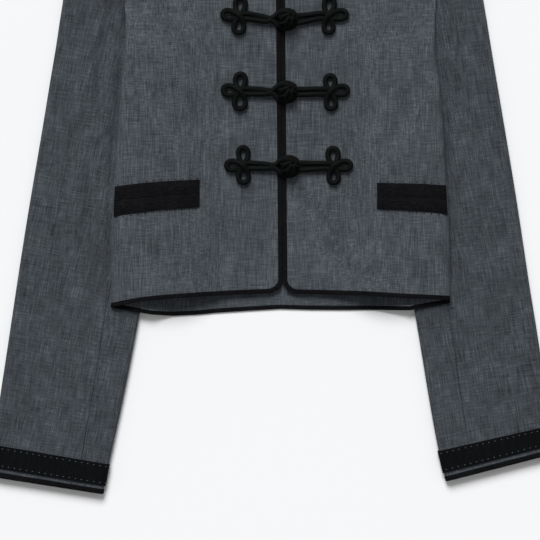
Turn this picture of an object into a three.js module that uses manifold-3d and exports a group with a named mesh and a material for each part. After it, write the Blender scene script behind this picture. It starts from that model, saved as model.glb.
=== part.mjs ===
// A tang jacket laid flat on its back: wool cloth, black bindings and cord frogs.
// Millimetres. X runs across the jacket, Y from the hem to the collar, Z up from the surface it lies on.
// Left and right are those of someone who faces the front: left is -X.
// Y is 0 at the front hem on the centre line until the whole jacket is centred at the end.
import * as THREE from "three";
import * as BufferGeometryUtils from "three/addons/utils/BufferGeometryUtils.js";
import Module from "manifold-3d";

const wasm = await Module();
wasm.setup();

const CLOTH = 2; // wall of the wool cloth with its backing
const SEAM = 0.3; // gap between neighbouring pieces
const ARMHOLE_GAP = 0.6; // the same at the armholes, where both edges curve
const AIR = 3; // gap between the back panel and the fronts in the middle
const FOLD = 4; // outer radius of a side fold and of a shoulder fold
const BINDING = { width: 4.6, proud: 0.5, gap: SEAM };
const HEM_BINDING = { width: 4.6, proud: 0, gap: SEAM }; // on the back, flush where it lies under the fronts
const COLLAR_BINDING = { width: 4.6, proud: 0, gap: 2 * SEAM };
const CUFF_BINDING = { width: 5.2, proud: 0.5 };
const BAND = 1; // thickness of the cuff ribbon
const JET = 1.2; // thickness of a pocket jet
const SLEEVE_HIGH = 7.6; // outer height of a sleeve that lies flat
const HINDARM = 24; // from a sleeve's outer fold to the seam on its underside
const CLEAR = 0.9; // from a sleeve to the back panel over it
const BODY_RISE = 8.6; // how far the fronts rise where they lie over the sleeves
const TUCK = { from: 318, over: 52 }; // where the sleeves slip under the body: from this Y, over this height
const BACK_CLIMB = { inside: 40, over: 30 }; // the back climbs from this far inside a sleeve's fold
const FRONT_CLIMB = { from: 55, over: 60 }; // the fronts climb from this far off the centre line
const SIDE_ROLL = { from: 300, over: 30 }; // below this Y a front rolls down to the back at its side
const SHOULDER_ROLL = 6; // width over which the shoulder's roll begins beside the neck
const HEM_CORNER = 9; // radius of a front's lower corner
const NECK_HALF = 72; // from the centre line to where shoulder and neck meet
const SHOULDER = { neckY: 433, tipX: 184, tipY: 398 };
const COLLAR = { topHalf: 54, frontTopY: 393, sideTopY: 465, height: 34, backDip: 9, corner: 7 };
const CORD = 2.5; // radius of the frog cord
const CLOSURE = { shift: 2.75, from: 319 }; // the closing line drifts right toward the hem

// The body's half width, up the side fold and then the armhole seam.
const SIDE = [
  { y: -30, half: 187 },
  { y: 55, half: 187 },
  { y: 88, half: 185.5 },
  { y: 166, half: 181 },
  { y: 238, half: 175 },
  { y: 262, half: 171 },
  { y: 283, half: 170.5 },
  { y: 319, half: 171.8 },
  { y: 345, half: 174.6 },
  { y: 375, half: 179.6 },
  { y: 398, half: 184 },
];

// Lower edge of the cloth at distance x from the centre: both fronts, and both sides of the back.
const HEM = [
  { x: 0, left: 2, right: 1, backLeft: -18, backRight: -16 },
  { x: 50, left: 0, right: 0, backLeft: -18, backRight: -17.5 },
  { x: 90, left: -2.3, right: -1, backLeft: -22.5, backRight: -17 },
  { x: 123, left: -4.6, right: -3.3, backLeft: -24, backRight: -17.5 },
  { x: 150, left: -7, right: -4.4, backLeft: -21, backRight: -17.5 },
  { x: 170, left: -11, right: -5.6, backLeft: -16.5, backRight: -11 },
  { x: 187, left: -15, right: -6.5, backLeft: -14, backRight: -9 },
];

// The front neckline.
const NECK = [
  { x: 0, y: 359 },
  { x: 18, y: 361.3 },
  { x: 36, y: 369 },
  { x: 52, y: 381.8 },
  { x: 64, y: 399 },
  { x: 69, y: 413 },
  { x: NECK_HALF, y: SHOULDER.neckY },
];

// A sleeve's cross-sections from the shoulder tip to the cuff. Each runs from the armhole seam, or the
// inner fold, to the outer fold. seam is the front seam's distance from the inner fold.
const SLEEVE = {
  left: [
    { inX: 183.4, inY: 394, outX: 200, outY: 396, high: 7, seam: 0, lift: 0 },
    { inX: 179.6, inY: 375, outX: 226, outY: 376, high: 7, seam: 0, lift: 0 },
    { inX: 174.6, inY: 345, outX: 236, outY: 348, high: 7.2, seam: 0, lift: 0 },
    { inX: 171.8, inY: 319, outX: 240, outY: 321, high: 7.4, seam: 0, lift: 0 },
    { inX: 170.5, inY: 283, outX: 244.5, outY: 293, high: 5.2, seam: 0, lift: 0 },
    { inX: 140, inY: 254, outX: 248, outY: 268, high: 6.4, seam: 14, lift: 0 },
    { inX: 120, inY: 215, outX: 254, outY: 234, high: 7.6, seam: 30, lift: 0 },
    { inX: 121, inY: 150, outX: 263.5, outY: 174, high: 7.6, seam: 37, lift: 0 },
    { inX: 137.6, inY: 60, outX: 279.6, outY: 82, high: 7.6, seam: 38, lift: 0 },
    { inX: 154.8, inY: -24, outX: 292.6, outY: -3, high: 7.6, seam: 38, lift: 0 },
    { inX: 168, inY: -95, outX: 303, outY: -74, high: 7.6, seam: 35, lift: 0.6 },
    { inX: 179, inY: -147, outX: 311, outY: -126, high: 7.6, seam: 33, lift: 1.2 },
    { inX: 189, inY: -192, outX: 317.6, outY: -170, high: 7.6, seam: 31, lift: 1.6 },
    { inX: 193.4, inY: -216, outX: 321.3, outY: -194.6, high: 7.6, seam: 30, lift: 1.6 },
    { inX: 194.3, inY: -219.6, outX: 322, outY: -198.8, high: 7.6, seam: 30, lift: 1.6 },
  ],
  right: [
    { inX: 183.4, inY: 394, outX: 197, outY: 396, high: 7, seam: 0, lift: 0 },
    { inX: 179.6, inY: 375, outX: 212, outY: 375, high: 7, seam: 0, lift: 0 },
    { inX: 174.6, inY: 345, outX: 220, outY: 347, high: 7.2, seam: 0, lift: 0 },
    { inX: 171.8, inY: 319, outX: 224, outY: 321, high: 7.4, seam: 0, lift: 0 },
    { inX: 170.5, inY: 283, outX: 229, outY: 292, high: 5.2, seam: 0, lift: 0 },
    { inX: 140, inY: 254, outX: 233, outY: 266, high: 6.4, seam: 14, lift: 0 },
    { inX: 118, inY: 215, outX: 238.6, outY: 233, high: 7.6, seam: 30, lift: 0 },
    { inX: 117, inY: 150, outX: 248.3, outY: 176, high: 7.6, seam: 37, lift: 0 },
    { inX: 132.6, inY: 60, outX: 263.3, outY: 86, high: 7.6, seam: 38, lift: 0 },
    { inX: 148, inY: -24, outX: 275.2, outY: 2, high: 7.6, seam: 38, lift: 0 },
    { inX: 159.4, inY: -95, outX: 287.4, outY: -68, high: 7.6, seam: 36, lift: 0.6 },
    { inX: 166.8, inY: -139, outX: 292, outY: -112, high: 7.6, seam: 35, lift: 1.2 },
    { inX: 173.8, inY: -177.5, outX: 296, outY: -149.5, high: 7.6, seam: 34, lift: 1.6 },
    { inX: 179.6, inY: -201.5, outX: 298.3, outY: -171, high: 7.6, seam: 33, lift: 1.6 },
    { inX: 181, inY: -205.5, outX: 298.7, outY: -175.3, high: 7.6, seam: 33, lift: 1.6 },
  ],
};
const BAND_ROW = { top: 12, low: 13, end: 14 }; // rows where the cuff band starts, ends, and the cloth ends

// Pocket jets: the upper edge, mouth line and lower edge at distance x from the centre.
const POCKET = {
  left: [
    { x: 89, top: 121.6, mouth: 106.3, low: 91 },
    { x: 140, top: 119, mouth: 103.2, low: 87.4 },
    { x: 183.5, top: 113.8, mouth: 97.2, low: 80.5 },
  ],
  right: [
    { x: 106, top: 118, mouth: 103.5, low: 89 },
    { x: 155, top: 116.8, mouth: 101.5, low: 86.2 },
    { x: 183.8, top: 115, mouth: 99, low: 83 },
  ],
};

// Frogs: the knot, and the middle of each clover.
const FROG = [
  { name: "top", knotX: 5.6, knotY: 298, leftX: -44, leftY: 303, rightX: 52.5, rightY: 301 },
  { name: "middle", knotX: 6.6, knotY: 219, leftX: -43.5, leftY: 219, rightX: 55, rightY: 218.5 },
  { name: "bottom", knotX: 9.8, knotY: 136.5, leftX: -41, leftY: 137.6, rightX: 57, rightY: 136.5 },
];

// The largest soft folds of the fronts: troughs from one point to another.
const CREASES = [
  { fromX: 12, fromY: 104, toX: 55, toY: 55, depth: 1.2, half: 22 },
  { fromX: -150, fromY: 240, toX: -95, toY: 175, depth: 1, half: 26 },
  { fromX: 152, fromY: 232, toX: 105, toY: 160, depth: 1.2, half: 26 },
];

const wool = { color: 0x53575d, roughness: 0.95, metalness: 0 };
const black = { color: 0x161619, roughness: 0.8, metalness: 0 };

const jacket = new THREE.Group();

function addPiece(name, geometry, look) {
  const mesh = new THREE.Mesh(geometry, new THREE.MeshStandardMaterial(look));
  mesh.name = name;
  jacket.add(mesh);
}

function smooth(t) {
  return THREE.MathUtils.smoothstep(t, 0, 1);
}

// Reads a column of a table between its rows; `by` is the column the rows are sorted on.
function read(table, by, at, column) {
  let upper = table.findIndex((row) => row[by] > at);
  if (upper < 0) upper = table.length - 1;
  upper = Math.max(upper, 1);
  const low = table[upper - 1];
  const high = table[upper];
  const share = THREE.MathUtils.clamp((at - low[by]) / (high[by] - low[by]), 0, 1);
  return THREE.MathUtils.lerp(low[column], high[column], share);
}

// A grid of points: one list of columns for each row.
function gridOf(rows, columns, place) {
  return rows.map((row) => columns.map((column) => place(column, row)));
}

function edgeVector(grid, row, column, downRow, downColumn) {
  const rowA = Math.max(row - downRow, 0);
  const columnA = Math.max(column - downColumn, 0);
  const rowB = Math.min(row + downRow, grid.length - 1);
  const columnB = Math.min(column + downColumn, grid[0].length - 1);
  return grid[rowB][columnB].clone().sub(grid[rowA][columnA]);
}

// Which way the cloth faces at every point of a grid; turn is -1 where columns run toward -X.
function normalsOf(grid, turn) {
  return grid.map((points, row) =>
    points.map((point, column) =>
      edgeVector(grid, row, column, 0, 1)
        .cross(edgeVector(grid, row, column, 1, 0))
        .normalize()
        .multiplyScalar(turn),
    ),
  );
}

function signedVolume(positions, faces) {
  const a = new THREE.Vector3();
  const b = new THREE.Vector3();
  const c = new THREE.Vector3();
  let sum = 0;
  for (let i = 0; i < faces.length; i += 3) {
    a.fromArray(positions, faces[i] * 3);
    b.fromArray(positions, faces[i + 1] * 3);
    c.fromArray(positions, faces[i + 2] * 3);
    sum += a.dot(b.cross(c));
  }
  return sum;
}

// A closed wall between two grids of points. A ring's last column joins its first.
function wallBetween(face, back, isRing = false) {
  const rowCount = face.length;
  const columnCount = face[0].length;
  const positions = [face, back].flatMap((side) => side.flat().flatMap((point) => point.toArray()));
  const at = (side, row, column) =>
    side * rowCount * columnCount + row * columnCount + (column % columnCount);
  const faces = [];
  const quad = (a, b, c, d) => faces.push(a, b, c, a, c, d);
  const steps = isRing ? columnCount : columnCount - 1;
  for (let row = 0; row < rowCount - 1; row++) {
    for (let column = 0; column < steps; column++) {
      quad(at(0, row, column), at(0, row, column + 1), at(0, row + 1, column + 1), at(0, row + 1, column));
      quad(at(1, row, column), at(1, row + 1, column), at(1, row + 1, column + 1), at(1, row, column + 1));
    }
    if (isRing) continue;
    const last = columnCount - 1;
    quad(at(0, row, 0), at(0, row + 1, 0), at(1, row + 1, 0), at(1, row, 0));
    quad(at(0, row, last), at(1, row, last), at(1, row + 1, last), at(0, row + 1, last));
  }
  for (let column = 0; column < steps; column++) {
    const last = rowCount - 1;
    quad(at(0, 0, column), at(1, 0, column), at(1, 0, column + 1), at(0, 0, column + 1));
    quad(at(0, last, column), at(0, last, column + 1), at(1, last, column + 1), at(1, last, column));
  }
  if (signedVolume(positions, faces) < 0) faces.reverse();
  const geometry = new THREE.BufferGeometry();
  geometry.setAttribute("position", new THREE.Float32BufferAttribute(positions, 3));
  geometry.setIndex(faces);
  return geometry;
}

// A cloth panel: its face, and the same points moved in by the thickness.
function clothWall(face, turn, thickness = CLOTH) {
  const normals = normalsOf(face, turn);
  const back = face.map((points, row) =>
    points.map((point, column) => point.clone().addScaledVector(normals[row][column], -thickness)),
  );
  return wallBetween(face, back);
}

// The way out of the cloth at each point along its edge; turn says on which hand it lies.
function outwardOf(edge, normals, turn) {
  return edge.map((point, i) => {
    const before = edge[Math.max(i - 1, 0)];
    const after = edge[Math.min(i + 1, edge.length - 1)];
    return after.clone().sub(before).cross(normals[i]).normalize().multiplyScalar(turn);
  });
}

// A binding along an edge: the strip starts a seam's gap outside the edge points.
function edgeStrip(edge, normals, out, size, thickness) {
  const strip = (depth) =>
    [size.gap, size.gap + size.width].map((reach) =>
      edge.map((point, i) =>
        point.clone().addScaledVector(out[i], reach).addScaledVector(normals[i], size.proud - depth),
      ),
    );
  return wallBetween(strip(0), strip(thickness + 2 * size.proud));
}

// Height of a grid's face straight above or below a place.
function heightAt(grid, x, y) {
  const triangle = new THREE.Triangle();
  const spot = new THREE.Vector3();
  const weights = new THREE.Vector3();
  const flat = (point) => new THREE.Vector3(point.x, point.y, 0);
  for (let row = 0; row < grid.length - 1; row++) {
    for (let column = 0; column < grid[0].length - 1; column++) {
      const a = grid[row][column];
      const b = grid[row][column + 1];
      const c = grid[row + 1][column + 1];
      const d = grid[row + 1][column];
      for (const [p, q, r] of [[a, b, c], [a, c, d]]) {
        triangle.set(flat(p), flat(q), flat(r));
        if (!triangle.getBarycoord(spot.set(x, y, 0), weights)) continue;
        if (Math.min(weights.x, weights.y, weights.z) < -1e-6) continue;
        return p.z * weights.x + q.z * weights.y + r.z * weights.z;
      }
    }
  }
  return 0;
}

// ---- Heights of the layers ----

// The sleeves slip under the body below the armholes: 0 at the armhole, 1 a little lower.
function tuck(y) {
  return smooth((TUCK.from - y) / TUCK.over);
}

function innerFold(side, y) {
  const closed = SLEEVE[side].filter((row) => row.inY < SHOULDER.tipY).reverse();
  return read(closed, "inY", y, "inX");
}

function backHeight(x, y) {
  const side = x < 0 ? "left" : "right";
  const over = smooth((Math.abs(x) - innerFold(side, y) + BACK_CLIMB.inside) / BACK_CLIMB.over);
  return (SLEEVE_HIGH + CLEAR) * over * tuck(y);
}

function creaseDepth(x, y) {
  let depth = 0;
  for (const crease of CREASES) {
    const line = new THREE.Line3(
      new THREE.Vector3(crease.fromX, crease.fromY, 0),
      new THREE.Vector3(crease.toX, crease.toY, 0),
    );
    const spot = new THREE.Vector3(x, y, 0);
    const distance = line.closestPointToPoint(spot, true, new THREE.Vector3()).distanceTo(spot);
    depth += crease.depth * smooth(1 - distance / crease.half);
  }
  return depth;
}

function frontHeight(x, y) {
  const rise = BODY_RISE * tuck(y) * smooth((Math.abs(x) - FRONT_CLIMB.from) / FRONT_CLIMB.over);
  return 2 * CLOTH + AIR + rise - creaseDepth(x, y);
}

// The shoulder line, the same for front and back.
function shoulderY(x) {
  const share = (x - NECK_HALF) / (SHOULDER.tipX - NECK_HALF);
  return THREE.MathUtils.lerp(SHOULDER.neckY, SHOULDER.tipY, share);
}

// ---- Back panel: rests on the surface in the middle and climbs over both sleeves ----
const LOWER_ROWS = [0, 0.06, 0.13, 0.2, 0.27, 0.34, 0.41, 0.48, 0.55];
const ROWS = [...LOWER_ROWS, 0.61, 0.655, 0.69, 0.725, 0.78, 0.85, 0.93, 1];
const BACK_COLUMNS = [0, 34, NECK_HALF, 84, 94, 104, 118, 140, 163, SHOULDER.tipX];

function backPoint(x, share) {
  const side = Math.sign(x);
  const across = Math.abs(x);
  const low = read(HEM, "x", across, side < 0 ? "backLeft" : "backRight");
  const dip = COLLAR.backDip * (1 - (across / NECK_HALF) ** 2);
  const top = across <= NECK_HALF ? SHOULDER.neckY - dip : shoulderY(across);
  const y = THREE.MathUtils.lerp(low, top, share);
  const half = read(SIDE, "y", y, "half") - ARMHOLE_GAP;
  const placed = (x * half) / SHOULDER.tipX;
  return new THREE.Vector3(placed, y, backHeight(placed, y) + CLOTH);
}

const backAcross = [...BACK_COLUMNS.slice(1).reverse().map((x) => -x), ...BACK_COLUMNS];
const backGrid = gridOf(ROWS, backAcross, backPoint);
addPiece("back_panel", clothWall(backGrid, 1), wool);
const backNormals = normalsOf(backGrid, 1)[0];
const backOut = outwardOf(backGrid[0], backNormals, 1).map((out) => out.setZ(0).normalize());
addPiece("binding_back_hem", edgeStrip(backGrid[0], backNormals, backOut, HEM_BINDING, CLOTH), black);

// ---- Front panels: over the back, rolled down at the side folds and the shoulders ----
const FRONT_EDGE = SEAM / 2 + BINDING.width + SEAM; // from the closing line to a front's cut edge
const CORNER_STEP = 2.6; // a column on the round of the lower corner
const FRONT_INNER = [FRONT_EDGE, FRONT_EDGE + CORNER_STEP, FRONT_EDGE + HEM_CORNER];
const FRONT_COLUMNS = [...FRONT_INNER, 18, 36, 52, 64, 69, NECK_HALF, 92, 110, 130, 154];
const ROLL = [0, 30, 60, 90]; // degrees round a fold

function closingLine(y) {
  return (CLOSURE.shift * Math.max(CLOSURE.from - y, 0)) / CLOSURE.from;
}

// A stop is a place along one direction of a front: flat cloth, or an angle round its fold.
function stops(flats, reach) {
  const flat = flats.map((at) => ({ at, angle: 0 }));
  const round = ROLL.map((degrees) => ({ at: reach, angle: THREE.MathUtils.degToRad(degrees) }));
  return [...flat, ...round];
}

function frontPoint(name, column, row) {
  const turn = name === "left" ? -1 : 1;
  const nominal = column.at + FOLD * Math.sin(column.angle);
  const corner = Math.max(HEM_CORNER + FRONT_EDGE - column.at, 0);
  const low = read(HEM, "x", nominal, name) + HEM_CORNER - Math.sqrt(HEM_CORNER ** 2 - corner ** 2);
  const top = nominal <= NECK_HALF ? read(NECK, "x", nominal, "y") : shoulderY(nominal);
  const y = THREE.MathUtils.lerp(low, top - FOLD, row.at) + FOLD * Math.sin(row.angle);
  const half = read(SIDE, "y", y, "half") - ARMHOLE_GAP;
  const centre = turn * closingLine(y);
  const share = (column.at - FRONT_EDGE) / (SHOULDER.tipX - FOLD - FRONT_EDGE);
  const flat = THREE.MathUtils.lerp(centre + FRONT_EDGE, half - FOLD, share);
  const across = flat + FOLD * Math.sin(column.angle);
  const x = turn * across;
  const shoulderRoll = smooth((nominal - NECK_HALF) / SHOULDER_ROLL) * (1 - Math.cos(row.angle)) * FOLD;
  const sideShare = smooth((SIDE_ROLL.from - y) / SIDE_ROLL.over);
  const sideRoll = sideShare * (1 - Math.cos(column.angle)) * FOLD;
  return new THREE.Vector3(x, y, frontHeight(x, y) - shoulderRoll - sideRoll);
}

const frontGrids = {};
for (const [name, turn] of [["left", -1], ["right", 1]]) {
  const columns = stops(FRONT_COLUMNS, SHOULDER.tipX - FOLD);
  const rows = stops(ROWS.slice(0, -1), 1);
  const grid = gridOf(rows, columns, (column, row) => frontPoint(name, column, row));
  frontGrids[name] = grid;
  addPiece("front_" + name, clothWall(grid, turn), wool);

  // One strip of binding: down the centre edge, round the corner and along the hem.
  const down = (list) => [...list.map((points) => points[0]).reverse(), ...list[0].slice(1)];
  const edge = down(grid);
  const normals = down(normalsOf(grid, turn));
  const strip = edgeStrip(edge, normals, outwardOf(edge, normals, turn), BINDING, CLOTH);
  addPiece("binding_front_" + name, strip, black);
}

// ---- Sleeves: flat tubes of two pieces, seamed near the inner fold and under the outer fold ----

// The path of a sleeve piece round one section: s from the inner to the outer fold, z up.
function roundEnd(centreS, radius, fromDegrees, toDegrees, steps) {
  const path = [];
  for (let i = 0; i <= steps; i++) {
    const angle = THREE.MathUtils.degToRad(THREE.MathUtils.lerp(fromDegrees, toDegrees, i / steps));
    path.push({ s: centreS + radius * Math.cos(angle), z: radius + radius * Math.sin(angle) });
  }
  return path;
}

function straight(fromS, toS, z, shares) {
  return shares.map((share) => ({ s: THREE.MathUtils.lerp(fromS, toS, share), z }));
}

const FOLD_STEPS = 4; // facets round each end of a section
const HIND_SHARE = 0.6; // the seam underneath is never further in than this share of the width
const OVER_SHARES = [0, 0.1, 0.25, 0.5, 0.75];
const UNDER_SHARES = [0, 0.35, 0.7];
const BACK_SHARES = [0.5, 1];
const RING_SHARES = [0.2, 0.4, 0.6, 0.8];

function sectionOf(name, row) {
  const turn = name === "left" ? -1 : 1;
  const inner = new THREE.Vector2(turn * row.inX, row.inY);
  const outer = new THREE.Vector2(turn * row.outX, row.outY);
  const wide = inner.distanceTo(outer);
  return {
    wide,
    high: row.high,
    radius: row.high / 2,
    hind: Math.min(HINDARM, wide * HIND_SHARE),
    seam: row.seam,
    place: ({ s, z }) => {
      const spot = inner.clone().lerp(outer, s / wide);
      return new THREE.Vector3(spot.x, spot.y, z + row.lift);
    },
  };
}

function upperPath(section) {
  const { wide, high, radius, hind, seam } = section;
  return [
    ...straight(seam + SEAM, wide - radius, high, OVER_SHARES),
    ...roundEnd(wide - radius, radius, 90, -90, FOLD_STEPS),
    { s: wide - hind + SEAM / 2, z: 0 },
  ];
}

function underPath(section) {
  const { wide, high, radius, hind, seam } = section;
  const start = wide - hind - SEAM / 2;
  const count = UNDER_SHARES.length + FOLD_STEPS + 1 + BACK_SHARES.length;
  if (seam === 0) {
    const shares = Array.from({ length: count }, (_, i) => i / (count - 1));
    return straight(start, SEAM / 2, 0, shares);
  }
  return [
    ...straight(start, radius, 0, UNDER_SHARES),
    ...roundEnd(radius, radius, -90, -270, FOLD_STEPS),
    ...straight(radius, seam - SEAM / 2, high, BACK_SHARES),
  ];
}

// A closed ring round a section, a given distance outside its cloth.
function ringPath(section, out) {
  const { wide, high, radius } = section;
  const endAt = (centreS, fromDegrees, toDegrees) => {
    const path = roundEnd(centreS, radius + out, fromDegrees, toDegrees, FOLD_STEPS);
    return path.map(({ s, z }) => ({ s, z: z - out }));
  };
  return [
    ...straight(radius, wide - radius, high + out, RING_SHARES),
    ...endAt(wide - radius, 90, -90),
    ...straight(wide - radius, radius, -out, RING_SHARES),
    ...endAt(radius, -90, -270),
  ];
}

function between(low, high, share) {
  const row = {};
  for (const column of Object.keys(low)) row[column] = THREE.MathUtils.lerp(low[column], high[column], share);
  return row;
}

for (const [name, turn] of [["left", -1], ["right", 1]]) {
  const rows = SLEEVE[name];
  const sections = rows.map((row) => sectionOf(name, row));
  const upper = sections.map((section) => upperPath(section).map(section.place));
  const under = sections.map((section) => underPath(section).map(section.place));
  addPiece("sleeve_upper_" + name, clothWall(upper, -turn), wool);
  addPiece("sleeve_under_" + name, clothWall(under, -turn), wool);

  // The cuff band lies round the cloth; the cuff binding closes its end.
  const ring = (row, out) => {
    const section = sectionOf(name, row);
    return ringPath(section, out).map(section.place);
  };
  const bandRows = [rows[BAND_ROW.top], rows[BAND_ROW.low]];
  const bandOuter = bandRows.map((row) => ring(row, SEAM + BAND));
  const bandInner = bandRows.map((row) => ring(row, SEAM));
  addPiece("cuff_band_" + name, wallBetween(bandOuter, bandInner, true), black);

  const beyond = [SEAM, SEAM + CUFF_BINDING.width].map((reach) => {
    const strip = rows[BAND_ROW.end].inY - rows[BAND_ROW.low].inY;
    return between(rows[BAND_ROW.low], rows[BAND_ROW.end], 1 + reach / Math.abs(strip));
  });
  const endOuter = beyond.map((row) => ring(row, CUFF_BINDING.proud));
  const endInner = beyond.map((row) => ring(row, -CLOTH - CUFF_BINDING.proud));
  addPiece("cuff_binding_" + name, wallBetween(endOuter, endInner, true), black);
}

// ---- Stand collar: a ring that rises from the neckline, open at the centre front ----
const COLLAR_RADIUS = CLOTH + AIR / 2; // where the ring turns from front to back
const COLLAR_FRONT = [FRONT_EDGE, FRONT_EDGE + 2, FRONT_EDGE + COLLAR.corner, 24, 36, 52, 64];
const COLLAR_BACK = [52, 18];
const COLLAR_ROWS = [0, 0.35, 0.7, 1];
const COLLAR_FOLD = [0, 60, 120, 180]; // degrees round each side fold
const COLLAR_SEAM = 3.5 * SEAM; // from the neckline to the collar, measured along Y where it is steep
const COLLAR_LEAN = { from: 5, over: 40 }; // the collar leans in from this far off the centre line
const NECK_EASE = 0.9; // how far the collar's base is drawn in where the neckline is steep

// One end of the ring to the other: x across, and how far round each side fold.
function collarColumns() {
  const front = COLLAR_FRONT.map((x) => ({ x, angle: 0 }));
  const fold = COLLAR_FOLD.map((angle) => ({ x: NECK_HALF - COLLAR_RADIUS, angle }));
  const back = COLLAR_BACK.map((x) => ({ x, angle: 180 }));
  const half = [...front, ...fold, ...back];
  const mirrored = half.map(({ x, angle }) => ({ x, angle, turn: -1 }));
  return [...mirrored, ...half.map(({ x, angle }) => ({ x, angle, turn: 1 })).reverse()];
}

function collarPoint(column, share) {
  const angle = THREE.MathUtils.degToRad(column.angle);
  const reach = column.x + COLLAR_RADIUS * Math.sin(angle);
  const part = reach / NECK_HALF;
  const backBase = SHOULDER.neckY - COLLAR.backDip * (1 - part ** 2);
  const cut = THREE.MathUtils.clamp(COLLAR.corner + FRONT_EDGE - reach, 0, COLLAR.corner);
  const corner = COLLAR.corner - Math.sqrt(COLLAR.corner ** 2 - cut ** 2);
  const frontTop = THREE.MathUtils.lerp(COLLAR.frontTopY, COLLAR.sideTopY, part ** 3) - corner;
  const isBack = column.angle > 90;
  const base = isBack ? backBase : read(NECK, "x", reach, "y");
  const top = isBack ? backBase + COLLAR.height : frontTop;
  const leaning = share * smooth((reach - COLLAR_LEAN.from) / COLLAR_LEAN.over);
  const lean = THREE.MathUtils.lerp(1, COLLAR.topHalf / NECK_HALF, leaning);
  const inside = 1 - (NECK_EASE * reach) / NECK_HALF ** 2;
  const y = THREE.MathUtils.lerp(base + COLLAR_SEAM, top, share);
  return new THREE.Vector3(column.turn * reach * inside * lean, y, COLLAR_RADIUS * (1 + Math.cos(angle)));
}

const collarGrid = gridOf(COLLAR_ROWS, collarColumns(), collarPoint);
addPiece("collar", clothWall(collarGrid, -1), wool);

// Its binding runs up one front edge, along the top and down the other, each point straight out of the cloth.
const collarOut = collarGrid.map((points, row) =>
  points.map((point, column) => {
    const out = new THREE.Vector3();
    const last = points.length - 1;
    if (column === 0) out.add(point.clone().sub(points[1]).normalize());
    if (column === last) out.add(point.clone().sub(points[last - 1]).normalize());
    if (row === COLLAR_ROWS.length - 1) out.add(point.clone().sub(collarGrid[row - 1][column]).normalize());
    return out.normalize();
  }),
);
const overTop = (list) => [
  ...list.slice(0, -1).map((points) => points[0]),
  ...list.at(-1),
  ...list.slice(0, -1).map((points) => points.at(-1)).reverse(),
];
const collarEdge = [collarGrid, normalsOf(collarGrid, -1), collarOut].map(overTop);
addPiece("binding_collar", edgeStrip(...collarEdge, COLLAR_BINDING, CLOTH), black);

// ---- Pockets: two jets of black cloth laid on each front, with the mouth between them ----
const POCKET_ROW = 4; // the row of a front's grid that crosses its pocket
const STATION_GAP = { start: 2, end: 0.5 }; // a jet's stations keep this far inside its two ends

for (const [name, turn] of [["left", -1], ["right", 1]]) {
  const table = POCKET[name];
  const start = table[0].x;
  const end = table.at(-1).x;
  const panelX = frontGrids[name][POCKET_ROW].map((point) => Math.abs(point.x));
  const inner = panelX.filter((x) => x > start + STATION_GAP.start && x < end - STATION_GAP.end);
  const stations = [start, ...inner, end];
  for (const [jet, from, to] of [["lower", "low", "mouth"], ["upper", "mouth", "top"]]) {
    const layer = (lift) =>
      [0, 0.5, 1].map((share) =>
        stations.map((x) => {
          const low = read(table, "x", x, from) + SEAM / 2;
          const y = THREE.MathUtils.lerp(low, read(table, "x", x, to) - SEAM / 2, share);
          const reach = turn * Math.min(x, read(SIDE, "y", y, "half") - FOLD / 2);
          return new THREE.Vector3(reach, y, heightAt(frontGrids[name], reach, y) + 2 * SEAM + lift);
        }),
      );
    addPiece("pocket_" + jet + "_" + name, wallBetween(layer(JET), layer(0)), black);
  }
}

// ---- Frogs: clovers of cord, a loop on the left front and a woven knot on the right ----
// A clover: a loop's radius, its middle's distance from the clover's, and the bound middle's radius.
const CLOVER = { loop: 6.5, reach: 13.5, hub: 5.5 };
const STEM_APART = 2.7; // half the distance between the stem's two cords
const HUB_HIGH = 1.6 * CORD; // height of the bound middle
const KNOT = { neck: 5, ball: 11, shoulder: 5.4, high: 17 };
const LOOP = KNOT.neck + SEAM + CORD; // radius of the cord loop round the knot's neck
const SEAT = BINDING.proud + 2 * SEAM; // the frogs lie on the bindings

function solidOf(geometry) {
  const bare = geometry.clone();
  bare.deleteAttribute("normal");
  bare.deleteAttribute("uv");
  const merged = BufferGeometryUtils.mergeVertices(bare, 1e-4);
  return new wasm.Manifold(
    new wasm.Mesh({
      numProp: 3,
      vertProperties: merged.attributes.position.array,
      triVerts: new Uint32Array(merged.index.array),
    }),
  );
}

function geometryOf(solid) {
  const mesh = solid.getMesh();
  const geometry = new THREE.BufferGeometry();
  geometry.setAttribute("position", new THREE.BufferAttribute(mesh.vertProperties, 3));
  geometry.setIndex(new THREE.BufferAttribute(mesh.triVerts, 1));
  return geometry;
}

function cordRing(x, y, radius) {
  return new THREE.TorusGeometry(radius, CORD, 6, 10).translate(x, y, 0);
}

function cordLine(fromX, fromY, toX, toY) {
  const length = Math.hypot(toX - fromX, toY - fromY);
  const line = new THREE.CylinderGeometry(CORD, CORD, length, 6);
  line.rotateZ(Math.atan2(toY - fromY, toX - fromX) - Math.PI / 2);
  return line.translate((fromX + toX) / 2, (fromY + toY) / 2, 0);
}

// A clover of three loops round its bound middle, with two cords of stem toward the knot.
function cloverHalf(x, y, turn, endX, endY) {
  const parts = [
    cordRing(x + turn * CLOVER.reach, y, CLOVER.loop),
    cordRing(x, y + CLOVER.reach, CLOVER.loop),
    cordRing(x, y - CLOVER.reach, CLOVER.loop),
    new THREE.CylinderGeometry(CLOVER.hub, CLOVER.hub, HUB_HIGH, 10).rotateX(Math.PI / 2).translate(x, y, 0),
    cordLine(x, y + STEM_APART, endX, endY + STEM_APART),
    cordLine(x, y - STEM_APART, endX, endY - STEM_APART),
  ];
  return parts.map(solidOf).reduce((whole, part) => whole.add(part));
}

// Lifts a flat shape onto the fronts, point by point.
function layOnFronts(geometry, lift) {
  const place = geometry.attributes.position;
  for (let i = 0; i < place.count; i++) {
    const x = place.getX(i);
    const y = place.getY(i);
    const under = heightAt(frontGrids[x < closingLine(y) ? "left" : "right"], x, y);
    place.setZ(i, place.getZ(i) + (under || 2 * CLOTH + AIR) + lift);
  }
  return geometry;
}

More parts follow.
